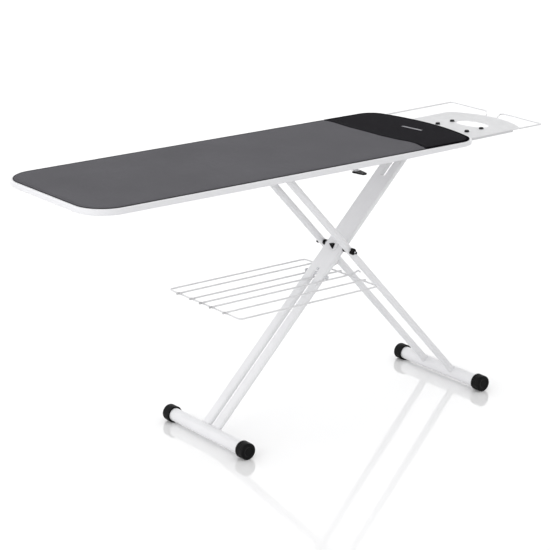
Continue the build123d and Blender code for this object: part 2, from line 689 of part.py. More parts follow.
spring_y = lever_pivot_y - spring_setback
with BuildPart() as lever_spring:
    with BuildLine(Plane(origin=(lever_x, spring_y, arm_high + spring_wire))) as coil:
        coil_height = deck_bottom - arm_high - 2 * spring_wire
        Helix(pitch=coil_height / spring_turns, height=coil_height, radius=spring_radius)
    with BuildSketch(Plane(origin=coil.line @ 0, z_dir=coil.line % 0)):
        Circle(spring_wire)
    sweep(path=coil.line, is_frenet=True)
save(lever_spring.part, "lever_spring")
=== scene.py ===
"""Looks of a full-size ironing board on folding X legs: covers, pad, caps, welds, fittings and materials.

Metres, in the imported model's frame: +X towards the iron rest, -Y the lever's side, +Z up.
"""
import json
import math

import bmesh
import bpy
import numpy as np
from mathutils import Euler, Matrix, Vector, noise
from mathutils.geometry import delaunay_2d_cdt


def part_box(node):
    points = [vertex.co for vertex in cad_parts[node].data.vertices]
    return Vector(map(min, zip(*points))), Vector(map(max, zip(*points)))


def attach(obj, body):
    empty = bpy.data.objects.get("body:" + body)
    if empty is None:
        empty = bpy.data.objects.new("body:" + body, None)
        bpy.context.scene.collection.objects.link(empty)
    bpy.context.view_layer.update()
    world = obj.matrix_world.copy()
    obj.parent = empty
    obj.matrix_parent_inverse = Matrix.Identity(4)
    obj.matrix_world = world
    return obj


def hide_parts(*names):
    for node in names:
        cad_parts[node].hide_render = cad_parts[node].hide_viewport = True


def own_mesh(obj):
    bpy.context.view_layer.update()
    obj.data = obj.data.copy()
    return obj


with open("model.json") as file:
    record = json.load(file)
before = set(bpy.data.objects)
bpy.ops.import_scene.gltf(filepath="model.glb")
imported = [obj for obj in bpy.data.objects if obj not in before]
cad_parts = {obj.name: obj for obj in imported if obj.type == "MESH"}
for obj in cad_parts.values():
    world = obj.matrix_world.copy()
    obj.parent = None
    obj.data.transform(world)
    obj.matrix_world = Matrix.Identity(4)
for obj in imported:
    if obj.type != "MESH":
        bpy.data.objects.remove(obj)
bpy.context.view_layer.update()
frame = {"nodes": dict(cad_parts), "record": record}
nodes = frame["nodes"]
MM = 0.001

# ---------------------------------------------------------------- camera
camera_data = bpy.data.cameras.new("camera")
camera_data.sensor_width = 36.0
camera_data.lens = 128.06
camera_data.clip_end = 100.0
camera = bpy.data.objects.new("camera", camera_data)
bpy.context.scene.collection.objects.link(camera)
camera.location = (-3.41715, -4.37687, 2.17076)
camera.rotation_euler = Euler((math.radians(90 - 17.263), 0.0, math.radians(-37.3850)))
bpy.context.scene.camera = camera


# ---------------------------------------------------------------- materials
BAND_SCALE = 2 * math.pi / 20                          # the wave texture's scale for one band per metre


class Look:
    """A node material that is built step by step around one Principled shader."""

    def __init__(self, name, colour, roughness, **sockets):
        self.material = bpy.data.materials.new(name)
        self.material.use_nodes = True
        self.tree = self.material.node_tree
        self.shader = self.tree.nodes["Principled BSDF"]
        self.shader.inputs["Base Color"].default_value = (*colour, 1)
        self.shader.inputs["Roughness"].default_value = roughness
        for socket, value in sockets.items():
            self.shader.inputs[socket.replace("_", " ")].default_value = value
        self.place = self.add("ShaderNodeTexCoord").outputs["Object"]
        self.height = None
        self.colour = colour

    def add(self, kind, **settings):
        node = self.tree.nodes.new(kind)
        for name, value in settings.items():
            if name in node.inputs:
                node.inputs[name].default_value = value
            else:
                setattr(node, name, value)
        return node

    def link(self, start, end):
        self.tree.links.new(start, end)

    def stretched(self, scale):
        mapping = self.add("ShaderNodeMapping")
        mapping.inputs["Scale"].default_value = scale
        self.link(self.place, mapping.inputs["Vector"])
        return mapping.outputs["Vector"]

    def noise(self, scale, detail, stretch=(1, 1, 1)):
        texture = self.add("ShaderNodeTexNoise", Scale=scale, Detail=detail)
        self.link(self.stretched(stretch), texture.inputs["Vector"])
        return texture.outputs["Fac"]

    def remap(self, value, low, high, from_low=0.3, from_high=0.7):
        node = self.add("ShaderNodeMapRange")
        node.inputs["From Min"].default_value = from_low
        node.inputs["From Max"].default_value = from_high
        node.inputs["To Min"].default_value = low
        node.inputs["To Max"].default_value = high
        self.link(value, node.inputs["Value"])
        return node.outputs["Result"]

    def math(self, operation, a, b):
        node = self.add("ShaderNodeMath", operation=operation)
        for value, socket in ((a, node.inputs[0]), (b, node.inputs[1])):
            if isinstance(value, (int, float)):
                socket.default_value = value
            else:
                self.link(value, socket)
        return node.outputs[0]

    def tint(self, value, darker, lighter):
        """Colour between two multiples of the base colour, as value goes from 0 to 1."""
        ramp = self.add("ShaderNodeMix", data_type="RGBA")
        for factor, socket in ((darker, ramp.inputs[6]), (lighter, ramp.inputs[7])):
            socket.default_value = (*(min(1.0, c * factor) for c in self.colour), 1)
        self.link(value, ramp.inputs[0])
        self.link(ramp.outputs[2], self.shader.inputs["Base Color"])
        return self

    def rough(self, value, low, high):
        self.link(self.remap(value, low, high), self.shader.inputs["Roughness"])
        return self

    def bump(self, value, distance, strength=1.0):
        node = self.add("ShaderNodeBump", Strength=strength, Distance=distance)
        self.link(value, node.inputs["Height"])
        if self.height:
            self.link(self.height, node.inputs["Normal"])
        self.height = node.outputs["Normal"]
        self.link(self.height, self.shader.inputs["Normal"])
        return self


def painted(name, colour, roughness, peel):
    """Powder coat: a fine orange peel, and a slow drift in tone and gloss."""
    look = Look(name, colour, roughness)
    drift = look.noise(7.0, 4.0)
    grain = look.noise(620.0, 2.0)
    look.tint(look.remap(drift, 0, 1), 0.955, 1.02)
    look.rough(look.noise(45.0, 3.0), roughness - 0.05, roughness + 0.07)
    look.bump(grain, peel)
    return look.material


def woven(name, colour, pitch, contrast, depth, heather, roughness=0.93, gloss=0.07, sheen=0.03):
    """Plain weave: warp and weft ridges over and under each other, with uneven threads.
    heather is the share of the slow flecks in the tone."""
    look = Look(name, colour, roughness, Specular_IOR_Level=gloss, Sheen_Weight=sheen,
                Sheen_Roughness=0.55)
    bands = []
    for direction, stretch in (("X", (1, 0.03, 1)), ("Y", (0.03, 1, 1))):
        wave = look.add("ShaderNodeTexWave", wave_type="BANDS", bands_direction=direction,
                        wave_profile="SIN", Scale=BAND_SCALE / pitch, Distortion=0.6)
        wave.inputs["Detail"].default_value = 1.0
        wave.inputs["Detail Scale"].default_value = 0.4
        look.link(look.place, wave.inputs["Vector"])
        thread = look.noise(0.55 / pitch, 2.0, stretch)
        bands.append(look.math("MULTIPLY", wave.outputs["Fac"], look.remap(thread, 0.72, 1.0)))
    checker = look.add("ShaderNodeTexChecker", Scale=1 / pitch)
    look.link(look.place, checker.inputs["Vector"])
    over = look.add("ShaderNodeMix", data_type="FLOAT")
    look.link(checker.outputs["Fac"], over.inputs[0])
    look.link(bands[0], over.inputs[2])
    look.link(bands[1], over.inputs[3])
    cloth = over.outputs[0]
    flecks = [look.math("MULTIPLY", look.remap(look.noise(260.0, 2.0, stretch), 0, 1), 0.5)
              for stretch in ((0.06, 1, 1), (1, 0.06, 1))]
    fleck = look.math("ADD", *flecks)
    slow = look.remap(look.noise(5.0, 3.0), 0, 1)
    mixed = look.math("ADD", look.math("MULTIPLY", cloth, 1 - heather),
                      look.math("MULTIPLY", look.math("MULTIPLY", fleck, slow), heather))
    look.tint(mixed, 1 - contrast, 1 + contrast)
    look.bump(look.noise(24.0, 2.0), 0.25 * MM, 0.5).bump(cloth, depth)
    return look.material


def moulded(name, colour, roughness, grain, marks=0.16, **sockets):
    """Moulded plastic or rubber: a fine spark-eroded grain and faint flow marks."""
    look = Look(name, colour, roughness, **sockets)
    look.tint(look.remap(look.noise(30.0, 4.0, (1, 0.3, 1)), 0, 1), 1 - marks, 1 + marks)
    look.rough(look.noise(90.0, 3.0), roughness - 0.07, roughness + 0.1)
    look.bump(look.noise(1500.0, 2.0), grain)
    return look.material


def plated(name, colour, roughness):
    """Zinc-plated steel: drawn along its length, with a slightly cloudy passivation."""
    look = Look(name, colour, roughness, Metallic=1.0)
    look.tint(look.remap(look.noise(60.0, 4.0), 0, 1), 0.82, 1.12)
    look.rough(look.noise(300.0, 3.0, (1, 0.08, 1)), roughness - 0.08, roughness + 0.14)
    look.bump(look.noise(900.0, 2.0, (1, 0.05, 1)), 0.03 * MM)
    return look.material


def felted():
    """Needled felt with loose fibres."""
    look = Look("needled_felt", (0.70, 0.69, 0.66), 0.97, Specular_IOR_Level=0.1, Sheen_Weight=0.3,
                Sheen_Roughness=0.7)
    fibres = look.math("ADD", look.noise(700.0, 4.0, (1, 0.15, 1)), look.noise(700.0, 4.0, (0.15, 1, 1)))
    look.tint(look.remap(fibres, 0, 1, 0.8, 1.2), 0.72, 1.12)
    look.bump(look.noise(110.0, 4.0), 0.9 * MM, 0.7).bump(fibres, 0.35 * MM, 0.8)
    return look.material


def thread(name, colour):
    """Twisted sewing thread."""
    look = Look(name, colour, 0.75, Specular_IOR_Level=0.3)
    look.tint(look.remap(look.noise(900.0, 2.0), 0, 1), 0.75, 1.3)
    look.bump(look.noise(1800.0, 1.0), 0.08 * MM)
    return look.material


steel_white = painted("white_powder_coat", (0.765, 0.765, 0.78), 0.40, peel=0.045 * MM)
wire_white = painted("white_wire_coat", (0.70, 0.70, 0.71), 0.36, peel=0.03 * MM)
deck_white = painted("white_deck_coat", (0.74, 0.74, 0.755), 0.5, peel=0.05 * MM)
weld_white = painted("white_weld_coat", (0.72, 0.72, 0.735), 0.42, peel=0.09 * MM)
rest_white = painted("white_rest_coat", (0.58, 0.582, 0.592), 0.42, peel=0.045 * MM)
rim_white = moulded("white_rim_plastic", (0.72, 0.72, 0.737), 0.38, grain=0.025 * MM, marks=0.012)
boss_white = moulded("white_boss_plastic", (0.74, 0.74, 0.755), 0.42, grain=0.02 * MM, marks=0.012)
black = moulded("black_cap_plastic", (0.0022, 0.0022, 0.0025), 0.36, grain=0.05 * MM, Specular_IOR_Level=0.11)
tip_dark = moulded("dipped_tip_plastic", (0.52, 0.52, 0.53), 0.5, grain=0.03 * MM)
silicone = moulded("bumper_silicone", (0.012, 0.012, 0.014), 0.6, grain=0.02 * MM, Specular_IOR_Level=0.2)
zinc = plated("zinc_plate", (0.60, 0.61, 0.63), 0.32)
cover_grey = woven("cover_grey_cloth", (0.0985, 0.0965, 0.1065), pitch=0.9 * MM, contrast=0.20,
                   depth=0.10 * MM, heather=0.55)
cover_black = woven("cover_black_cloth", (0.0095, 0.0088, 0.0115), pitch=0.7 * MM, contrast=0.25,
                    depth=0.10 * MM, heather=0.4, gloss=0.05, sheen=0.0)
hem_black = woven("cover_black_hem", (0.0058, 0.0055, 0.0068), pitch=0.7 * MM, contrast=0.2,
                  depth=0.10 * MM, heather=0.4, gloss=0.0, sheen=0.0)
tape_grey = woven("binding_grey_tape", (0.034, 0.033, 0.037), pitch=0.6 * MM, contrast=0.3,
                  depth=0.12 * MM, heather=0.3)
tape_black = woven("binding_black_tape", (0.0055, 0.0052, 0.0064), pitch=0.6 * MM, contrast=0.3,
                   depth=0.12 * MM, heather=0.3, roughness=0.9, gloss=0.0, sheen=0.0)
tag_cloth = woven("tag_satin", (0.30, 0.30, 0.32), pitch=0.5 * MM, contrast=0.2, depth=0.08 * MM,
                  heather=0.2, roughness=0.6)
felt = felted()
thread_grey = thread("thread_grey", (0.085, 0.084, 0.09))
thread_black = thread("thread_black", (0.014, 0.014, 0.016))

SLOT_LOOKS = {"white_steel": steel_white, "white_wire": wire_white, "white_rim": rim_white,
              "white_deck": deck_white, "pad_felt": felt, "cover_grey": cover_grey,
              "cover_black": cover_black, "black_plastic": black, "wire_tip_plastic": tip_dark,
              "bumper_rubber": silicone, "zinc_steel": zinc}
NODE_LOOKS = {"axle_boss": boss_white, "rest_plate": rest_white}
for part in frame["record"]["subparts"]:
    node = nodes[part["node"]]
    for place in node.material_slots:
        place.material = NODE_LOOKS.get(node.name, SLOT_LOOKS[part["material_slot"]])


# ---------------------------------------------------------------- mesh helpers
def piece(name, points, faces, material, body, slot, smooth):
    """A finished mesh piece that rides on a body. Edges sharper than smooth degrees stay crisp."""
    mesh = bpy.data.meshes.new(name)
    mesh.from_pydata([tuple(p) for p in points], [], [tuple(f) for f in faces])
    mesh.validate()
    mesh.update()
    return dress(mesh, name, material, body, smooth)


def dress(mesh, name, material, body, smooth=35.0):
    """Puts a mesh in the scene with its material and body."""
    obj = bpy.data.objects.new(name, mesh)
    bpy.context.scene.collection.objects.link(obj)
    mesh.materials.append(material)
    mesh.polygons.foreach_set("use_smooth", [True] * len(mesh.polygons))
    mesh.set_sharp_from_angle(angle=math.radians(smooth))
    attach(obj, body)
    return obj


class Soup:
    """Many small closed shapes gathered into one mesh."""

    def __init__(self):
        self.points, self.faces = [], []

    def take(self, points, faces):
        start = len(self.points)
        self.points.extend(map(tuple, points))
        self.faces.extend([tuple(start + i for i in face) for face in faces])

    def piece(self, name, material, body, slot, smooth):
        return piece(name, self.points, self.faces, material, body, slot, smooth)


def in_mm(pairs):
    return [(a * MM, b * MM) for a, b in pairs]


def grid_faces(rows, columns, close_rows=False, close_columns=True):
    """Quads over a grid of points, which may close on itself either way."""
    faces = []
    for r in range(rows if close_rows else rows - 1):
        for c in range(columns if close_columns else columns - 1):
            a, b = r * columns + c, r * columns + (c + 1) % columns
            d, e = (r + 1) % rows * columns + c, (r + 1) % rows * columns + (c + 1) % columns
            faces.append((a, b, e, d))
    return faces


def swept(path, radius, sides, closed=False):
    """A round bar along a path. radius may be one number or one per point."""
    path = np.array(path, float)
    count = len(path)
    radius = np.broadcast_to(np.array(radius, float), (count,))
    if closed:
        along = np.roll(path, -1, 0) - np.roll(path, 1, 0)
    else:
        along = np.gradient(path, axis=0)
    along /= np.linalg.norm(along, axis=1)[:, None]
    side = np.cross(along[0], (0, 0, 1))
    if np.linalg.norm(side) < 1e-3:
        side = np.cross(along[0], (0, 1, 0))
    points = []
    angles = np.linspace(0, 2 * math.pi, sides, endpoint=False)
    for i in range(count):
        side = side - along[i] * (side @ along[i])
        side /= np.linalg.norm(side)
        up = np.cross(side, along[i])
        ring = path[i] + radius[i] * (np.outer(np.cos(angles), side) + np.outer(np.sin(angles), up))
        points.extend(ring)
    faces = grid_faces(count, sides, close_rows=closed)
    if not closed:
        faces.append(tuple(range(sides)))
        faces.append(tuple(range(count * sides - 1, (count - 1) * sides - 1, -1)))
    return points, faces


def turned(profile, centre, axis, segments, shape=None):
    """A turned shape: profile is (distance along the axis, radius) from one end to the other.
    shape(angle, along, radius) may bend the radius, for lobes, ribs or flats."""
    axis = Vector(axis).normalized()
    side = axis.orthogonal() if abs(axis.z) > 0.9 else Vector((0, 0, 1)).cross(axis)
    side.normalize()
    up = axis.cross(side)
    points, rings = [], []
    for along, radius in profile:
        if radius <= 0:
            rings.append([len(points)])
            points.append(Vector(centre) + axis * along)
            continue
        rings.append(list(range(len(points), len(points) + segments)))
        for k in range(segments):
            angle = 2 * math.pi * k / segments
            r = shape(angle, along, radius) if shape else radius
            outwards = side * math.cos(angle) + up * math.sin(angle)
            points.append(Vector(centre) + axis * along + outwards * r)
    faces = []
    for first, second in zip(rings, rings[1:]):
        for k in range(segments):
            j = (k + 1) % segments
            if len(first) == 1 and len(second) > 1:
                faces.append((first[0], second[j], second[k]))
            elif len(second) == 1 and len(first) > 1:
                faces.append((first[k], first[j], second[0]))
            elif len(first) > 1:
                faces.append((first[k], first[j], second[j], second[k]))
    return points, faces


# ---------------------------------------------------------------- board outline
start_x, end_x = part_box("cover_main")[0].x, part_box("cover_nose")[1].x
half_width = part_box("cover_main")[1].y
cover_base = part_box("cover_main")[0].z
main_top, nose_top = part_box("cover_main")[1].z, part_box("cover_nose")[1].z
pad_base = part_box("board_pad")[0].z
SQUARE_CORNER, NOSE_CORNER, NOSE_ARC = 90 * MM, 60 * MM, 727 * MM
SEAM_REACH, SEAM_SKEW = 1142 * MM, math.radians(0.6)
seam_x = start_x + SEAM_REACH
arc_centre = end_x - NOSE_ARC
corner_y = half_width - NOSE_CORNER
corner_x = arc_centre + math.sqrt((NOSE_ARC - NOSE_CORNER) ** 2 - corner_y ** 2)
corner_turn = math.asin(corner_y / (NOSE_ARC - NOSE_CORNER))
COLUMN_REACH = 9 * MM                                  # how far along a ring its edge is looked up
EDGE_EASE = 20 * MM                                    # the inset from which the top waves freely


def seam_distance(x, y):
    """Distance past the seam, towards the nose."""
    return (x - seam_x) * math.cos(SEAM_SKEW) + y * math.sin(SEAM_SKEW)


def outline(inset, pitch=6 * MM):
    """The cover's outline, moved in by inset, anticlockwise, with the same count of points for any inset."""
    def arc(cx, cy, radius, turn_from, turn_to):
        steps = max(4, round(abs(turn_to - turn_from) * radius / pitch))
        return [(cx + (radius - inset) * math.cos(t), cy + (radius - inset) * math.sin(t))
                for t in np.linspace(turn_from, turn_to, steps, endpoint=False)]

    def run(a, b):
        steps = round(math.dist(a, b) / pitch)
        return [(a[0] + (b[0] - a[0]) * k / steps, a[1] + (b[1] - a[1]) * k / steps) for k in range(steps)]

    left, half = start_x + SQUARE_CORNER, half_width - inset
    quarter, low = math.pi / 2, half_width - SQUARE_CORNER
    return np.array(
        run((left, -half), (corner_x, -half))
        + arc(corner_x, -corner_y, NOSE_CORNER, -quarter, -corner_turn)
        + arc(arc_centre, 0, NOSE_ARC, -corner_turn, corner_turn)
        + arc(corner_x, corner_y, NOSE_CORNER, corner_turn, quarter)
        + run((corner_x, half), (left, half))
        + arc(left, low, SQUARE_CORNER, quarter, 2 * quarter)
        + run((start_x + inset, low), (start_x + inset, -low))
        + arc(left, -low, SQUARE_CORNER, 2 * quarter, 3 * quarter))


def filled(ring, pitch):
    """Triangles inside a ring of 2-D points, with grid points inside at the given pitch."""
    xs = np.arange(ring[:, 0].min() + pitch, ring[:, 0].max() - pitch / 2, pitch)
    ys = np.arange(ring[:, 1].min() + pitch, ring[:, 1].max() - pitch / 2, pitch)
    inner = []
    for row, y in enumerate(ys):
        for x in xs + (pitch / 2 if row % 2 else 0):
            if inside(ring, x, y, pitch * 0.45):
                inner.append((x, y))
    points = [Vector(p) for p in ring] + [Vector(p) for p in inner]
    edges = [(i, (i + 1) % len(ring)) for i in range(len(ring))]
    flat, _, faces, origin, _, _ = delaunay_2d_cdt(points, edges, [list(range(len(ring)))], 1, 1e-7)
    return [tuple(p) for p in flat], faces, origin


def inside(ring, x, y, margin):
    """True if a point is inside the board's ring by at least the margin."""
    to_ends = (x - ring[:, 0].min(), ring[:, 0].max() - x)
    if min(to_ends) < margin or ring[:, 1].max() - abs(y) < margin:
        return False
    column = ring[np.abs(ring[:, 0] - x) < COLUMN_REACH]
    if len(column) == 0:
        return True
    return abs(y) < np.abs(column[:, 1]).min() - margin


def slow_wave(x, y, amplitude, size, seed):
    """A gentle bump or hollow of about the given size across."""
    return amplitude * noise.noise(Vector((x / size, y / size, seed)))


def skin(mesh, rings):
    """Quads between neighbouring rings of vertices."""
    count = len(rings[0])
    for low, high in zip(rings, rings[1:]):
        for k in range(count):
            mesh.faces.new((low[k], low[(k + 1) % count], high[(k + 1) % count], high[k]))


def close_ring(mesh, ring, places, pitch, height, turned_down=False):
    """Triangles inside a ring of vertices at the given 2-D places, with new vertices at height(x, y)."""
    flat, faces, origin = filled(places, pitch)
    made = []
    for i, (x, y) in enumerate(flat):
        source = [k for k in origin[i] if k < len(ring)]
        made.append(ring[source[0]] if source else mesh.verts.new((x, y, height(x, y))))
    for face in faces:
        mesh.faces.new([made[k] for k in (reversed(face) if turned_down else face)])


def eased(inset):
    """How much a point this far in from the edge takes part in the slow waves, from 0 to 1."""
    return min(1.0, inset / EDGE_EASE)


def soft_slab(profile, inner_pitch, top_height):
    """A closed slab with the board's outline: profile is (inset, height) from the base edge up and in."""
    mesh = bmesh.new()
    rings = []
    for inset, height in profile:
        rings.append([mesh.verts.new((x, y, height + top_height(x, y) * eased(inset)))
                      for x, y in outline(inset)])
    skin(mesh, rings)
    (base_inset, base), (top_inset, top) = profile[0], profile[-1]
    close_ring(mesh, rings[-1], outline(top_inset), inner_pitch, lambda x, y: top + top_height(x, y))
    close_ring(mesh, rings[0], outline(base_inset), inner_pitch * 2, lambda x, y: base, turned_down=True)
    bmesh.ops.recalc_face_normals(mesh, faces=mesh.faces)
    return mesh


WANDER_REACH = 90 * MM                                 # the seam's wandering fades out this far away
WANDER_PLACES = np.array((-239, -228, -210, -196, -173, -150, -131, -117, -99,
                          -75, -37, 11, 58, 100, 152, 192, 217, 239)) * MM
WANDER_SHIFTS = np.array((-3.0, -1.0, 7.0, 12.5, 14.0, 14.5, 11.0, 6.0, 3.0,
                          1.5, -2.5, -2.0, -2.0, -5.0, -2.0, 2.5, 0.5, 0.0)) * MM


def seam_wave(x, y):
    """How far the sewn edge wanders off the straight line: a slack tongue near the lever's side."""
    fade = max(0.0, 1 - abs(seam_distance(x, y)) / WANDER_REACH)
    return np.interp(y, WANDER_PLACES, WANDER_SHIFTS) * fade * fade * (3 - 2 * fade)


def cut_at_seam(mesh, keep_nose, lines=()):
    """Keeps one side of the seam and closes the cut. Each distance in lines adds a row of edges beside it."""
    normal = Vector((math.cos(SEAM_SKEW), math.sin(SEAM_SKEW), 0))

    def cut(distance, **clear):
        bmesh.ops.bisect_plane(mesh, geom=mesh.verts[:] + mesh.edges[:] + mesh.faces[:], dist=1e-6,
                               plane_co=Vector((seam_x, 0, 0)) + normal * distance, plane_no=normal, **clear)

    for distance in lines:
        cut(distance)
    cut(0.0, clear_inner=keep_nose, clear_outer=not keep_nose)
    edges = [e for e in mesh.edges if e.is_boundary]
    bmesh.ops.holes_fill(mesh, edges=edges, sides=0)
    return mesh


def as_mesh(mesh, name):
    """Mesh data from a bmesh, with its faces turned outwards."""
    bmesh.ops.recalc_face_normals(mesh, faces=mesh.faces)
    made = bpy.data.meshes.new(name)
    mesh.to_mesh(made)
    mesh.free()
    return made


# ---------------------------------------------------------------- covers
CROWN = 0.9 * MM
MAIN_DROP, NOSE_DROP = 0.9 * MM, 1.1 * MM              # height of the rounded edge
EDGE_BAND = 10 * MM                                    # the turned-in edge, up to the row of stitches
HEM = 14 * MM                                          # from the seam to the hem's outer row of stitches
HEM_LINES = [d * MM for d in (0.4, 1, 2, 5, 9, 13, 14, 15, 18, 24)]
HEM_FADE = 30 * MM                                     # how far past the seam its unevenness is felt
HEM_ROLL = 2 * MM                                      # width of its rolled edge


def main_height(x, y):
    return slow_wave(x, y, 0.45 * MM, 0.16, 3.0) + slow_wave(x, y, 0.12 * MM, 0.045, 8.0)


def nose_height(x, y):
    tug = slow_wave(x, y, 0.35 * MM, 0.07, 21.0) * math.exp(-max(seam_distance(x, y), 0) / (45 * MM))
    return slow_wave(x, y, 0.4 * MM, 0.12, 15.0) + tug


def hem_height(distance):
    """The folded hem beside the seam: a rolled edge, a flat band and a sewn groove."""
    if distance < HEM_ROLL:
        return -0.75 * MM * (1 - distance / HEM_ROLL) ** 2
    groove = math.exp(-((distance - HEM) / (0.8 * MM)) ** 2)
    band = 1.0 if distance < HEM else math.exp(-(distance - HEM) / (3 * MM))
    return 0.45 * MM * band - 0.55 * MM * groove


def cover_profile(top, edge_drop):
    """From the rim up over the rounded edge, through the sewn groove and on to the crowned top."""
    return [(2.2 * MM, cover_base), (1.0 * MM, cover_base + 0.1 * MM), (1.0 * MM, top - edge_drop - 0.6 * MM),
            (1.6 * MM, top - edge_drop), (2.6 * MM, top - edge_drop * 0.55),
            (4.5 * MM, top - edge_drop * 0.2), (7.0 * MM, top),
            (EDGE_BAND - 0.8 * MM, top + 0.15 * MM), (EDGE_BAND, top - 0.2 * MM),
            (EDGE_BAND + 0.8 * MM, top + 0.15 * MM), (14.0 * MM, top + 0.4 * MM),
            (20.0 * MM, top + 0.6 * CROWN), (30.0 * MM, top + 0.85 * CROWN), (45.0 * MM, top + CROWN)]


def cover_cloth(name, mesh, material):
    """Lets the sewn edge wander, and makes the cover's piece."""
    for vert in mesh.verts:
        vert.co.x += seam_wave(vert.co.x, vert.co.y)
    return dress(as_mesh(mesh, name), name, material, "tabletop")


main_mesh = cut_at_seam(soft_slab(cover_profile(main_top, MAIN_DROP), 10 * MM, main_height), False)
main_cloth = cover_cloth("cover_main_cloth", main_mesh, cover_grey)
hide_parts("cover_main")

nose_mesh = cut_at_seam(soft_slab(cover_profile(nose_top, NOSE_DROP), 8 * MM, nose_height), True, HEM_LINES)
for vert in nose_mesh.verts:
    distance = seam_distance(vert.co.x, vert.co.y)
    if vert.co.z > main_top - 0.8 * MM and distance < HEM_FADE:
        fade = max(0.0, 1 - distance / HEM_FADE)
        vert.co.z += hem_height(distance)
        vert.co.x += 0.9 * MM * fade * noise.noise(Vector((vert.co.y / 0.05, 4.0, 0.0)))
nose_cloth = cover_cloth("cover_nose_cloth", nose_mesh, cover_black)
nose_cloth.data.materials.append(hem_black)
edge_points = outline(0.0, 2 * MM)
for face in nose_cloth.data.polygons:
    away = np.hypot(edge_points[:, 0] - face.center.x, edge_points[:, 1] - face.center.y).min()
    face.material_index = 1 if away < EDGE_BAND else 0
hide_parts("cover_nose")


# ---------------------------------------------------------------- bound edges, stitches and tag
def split_by_seam(points):
    """The longest runs of an outline on the main side and on the nose side of the seam."""
    side = [seam_distance(x, y) > 0 for x, y in points]
    turn = next(k for k in range(len(side)) if side[k] and not side[k - 1])
    points, side = np.roll(points, -turn, 0), np.roll(side, -turn)
    first_main = list(side).index(False)
    return points[first_main:], points[:first_main]


def at_seam(distance, ends):
    """Points on the nose cover, the given distance past the seam."""
    reach = half_width - ends
    line = [(seam_x + (distance - y * math.sin(SEAM_SKEW)) / math.cos(SEAM_SKEW), y)
            for y in np.arange(-reach, reach, 3 * MM)]
    level = nose_top + 0.35 * MM + 0.8 * CROWN + hem_height(distance)
    return [(x + seam_wave(x, y), y, level + nose_height(x, y)) for x, y in line]


edge_main, edge_nose = split_by_seam(outline(1.5 * MM, 4 * MM))
for name, points, top, drop, material, slot in (
        ("binding_main", edge_main, main_top, MAIN_DROP, tape_grey, "cover_grey"),
        ("binding_nose", edge_nose, nose_top, NOSE_DROP, tape_black, "cover_black")):
    path = [(x, y, top - drop - 0.2 * MM) for x, y in points]
    widths = [1.5 * MM + 0.12 * MM * noise.noise(Vector((x * 60, y * 60, 1))) for x, y in points]
    piece(name, *swept(path, widths, 10), material, "tabletop", slot, 60)


STITCH_LENGTH, STITCH_GAP, STITCH_RADIUS = 3.0 * MM, 1.5 * MM, 0.33 * MM


def stitch_row(soup, path):
    """Raised stitches along a path, each dipping into the cloth at both ends."""
    path = np.array(path)
    steps = np.linalg.norm(np.diff(path, axis=0), axis=1)
    reach = np.concatenate([[0], np.cumsum(steps)])
    for first in np.arange(STITCH_GAP, reach[-1] - STITCH_LENGTH, STITCH_LENGTH + STITCH_GAP):
        where = np.linspace(first, first + STITCH_LENGTH, 5)
        line = np.stack([np.interp(where, reach, path[:, k]) for k in range(3)], axis=1)
        line[:, 2] += np.array([-0.25, 0.12, 0.2, 0.12, -0.25]) * MM
        soup.take(*swept(line, [STITCH_RADIUS * r for r in (0.6, 1, 1.05, 1, 0.6)], 6))


def edge_row(points, top, height):
    """Places on a cover's top at the inset of its edge stitches."""
    return [(x, y, top + 0.02 * MM + height(x, y) * eased(EDGE_BAND)) for x, y in points]


grey_row, black_row = Soup(), Soup()
sewn_main, sewn_nose = split_by_seam(outline(EDGE_BAND, 3 * MM))
past_hem = [p for p in sewn_nose if seam_distance(*p) > HEM + 2 * MM]
stitch_row(grey_row, edge_row(sewn_main[1:-1], main_top, main_height))
stitch_row(black_row, edge_row(past_hem, nose_top, nose_height))
for distance in (HEM, HEM - 5 * MM):
    stitch_row(black_row, at_seam(distance, 22 * MM))
grey_row.piece("stitches_main", thread_grey, "tabletop", "cover_grey", 60)
black_row.piece("stitches_nose", thread_black, "tabletop", "cover_black", 60)

# a small unlettered woven tag on the nose cover
TAG_REACH, TAG_ACROSS = 1277 * MM, -20 * MM
TAG_LENGTH, TAG_WIDTH, TAG_THICKNESS = 80 * MM, 9 * MM, 0.35 * MM
TAG_TURN = math.radians(-84)
TAG_COLUMNS, TAG_ROWS = 29, 7
tag_points = []
for lift in (0.0, TAG_THICKNESS):
    for j in range(TAG_ROWS):
        for i in range(TAG_COLUMNS):
            u = (i / (TAG_COLUMNS - 1) - 0.5) * TAG_LENGTH
            v = (j / (TAG_ROWS - 1) - 0.5) * TAG_WIDTH
            x = start_x + TAG_REACH + u * math.cos(TAG_TURN) - v * math.sin(TAG_TURN)
            y = TAG_ACROSS + u * math.sin(TAG_TURN) + v * math.cos(TAG_TURN)
            edge = min(TAG_LENGTH / 2 - abs(u), TAG_WIDTH / 2 - abs(v))
            ridge = 0.12 * MM * math.exp(-(edge / (1.2 * MM)) ** 2)
            level = nose_top + CROWN + nose_height(x, y)
            tag_points.append((x, y, level + lift * (1 if edge > 0 else 0.4) + ridge))
layer = TAG_COLUMNS * TAG_ROWS
tag_grid = grid_faces(TAG_ROWS, TAG_COLUMNS, close_columns=False)
tag_faces = [tuple(reversed(f)) for f in tag_grid] + [tuple(k + layer for k in f) for f in tag_grid]
rim_loop = (list(range(TAG_COLUMNS))
            + [r * TAG_COLUMNS + TAG_COLUMNS - 1 for r in range(1, TAG_ROWS)]
            + [layer - 1 - k for k in range(1, TAG_COLUMNS)]
            + [(TAG_ROWS - 1 - r) * TAG_COLUMNS for r in range(1, TAG_ROWS - 1)])
for a, b in zip(rim_loop, rim_loop[1:] + rim_loop[:1]):
    tag_faces.append((a, b, b + layer, a + layer))
tag = piece("woven_tag", tag_points, tag_faces, tag_cloth, "tabletop", "cover_black", 40)

